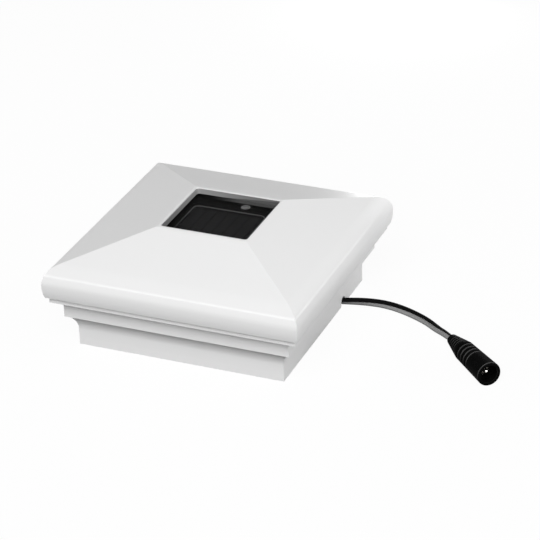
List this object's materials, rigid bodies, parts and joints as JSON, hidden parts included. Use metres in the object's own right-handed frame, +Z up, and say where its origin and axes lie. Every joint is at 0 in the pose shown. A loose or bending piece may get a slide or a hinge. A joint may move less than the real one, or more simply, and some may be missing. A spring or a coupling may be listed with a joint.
{
  "type": "deck post cap light",
  "caption": "Square solar post cap light: mitred hip roof with a solar window, thin opal light strip, stepped collar for a post sleeve, and a short twin lead with an in-line barrel jack.",
  "frame": {"origin": "centre of the collar's lower edge, on the surface it stands on", "axes": "+Z up through the roof's window, -Y the long side nearest the viewer, +X the side the lead leaves"},
  "size_m": [0.2212, 0.1352, 0.0563],
  "materials": {
    "white_moulding": "satin white moulded plastic",
    "black_moulding": "matt black moulded plastic",
    "clear_cover": "clear glossy cover",
    "cell_laminate": "dark laminated solar cells",
    "sensor_face": "pale sensor face with a darker track",
    "opal_diffuser": "opal translucent plastic",
    "led_package": "phosphor-filled package",
    "circuit_board": "solder-masked board",
    "seal_rubber": "matt",
    "screw_steel": "plain stainless steel",
    "contact_metal": "nickel plated",
    "cell_sleeve": "shrink sleeve",
    "coil_drum": "ferrite",
    "socket_plastic": "natural nylon",
    "black_rubber": "soft moulded boot",
    "lead_black": "flexible vinyl, one black and one grey conductor",
    "wire_vinyl": "thin coloured hook-up wire"
  },
  "bodies": {
    "cap": {"roof_shell": "white_moulding", "window_gasket": "seal_rubber", "window_lens": "clear_cover", "panel_tray": "black_moulding", "solar_panel": "cell_laminate", "photocell": "sensor_face", "tray_screws": "screw_steel", "light_diffuser": "opal_diffuser", "led_boards": "circuit_board", "leds": "led_package", "base_collar": "white_moulding", "bottom_cover": "white_moulding", "cover_gasket": "seal_rubber", "cover_screws": "screw_steel", "battery_door": "white_moulding", "battery_door_seal": "seal_rubber", "door_screws": "screw_steel", "battery_cell": "cell_sleeve", "battery_contact_plus": "contact_metal", "battery_contact_minus": "contact_metal", "control_board": "circuit_board", "board_chip": "black_moulding", "board_inductor": "coil_drum", "board_capacitor": "cell_sleeve", "wire_sockets": "socket_plastic", "board_screws": "screw_steel", "switch_body": "contact_metal", "cord_gland": "black_rubber", "output_lead": "lead_black", "connector_boot": "black_rubber", "connector_sleeve": "contact_metal", "connector_pin": "contact_metal", "panel_leads": "wire_vinyl", "lamp_leads": "wire_vinyl", "battery_leads": "wire_vinyl"},
    "power_switch": {"switch_slider": "black_moulding"}
  },
  "joints": [
    {"name": "power_switch_slide", "type": "slide", "parent": "cap", "child": "power_switch", "axis": [1, 0, 0], "range_m": [0, 0.002]}
  ]
}
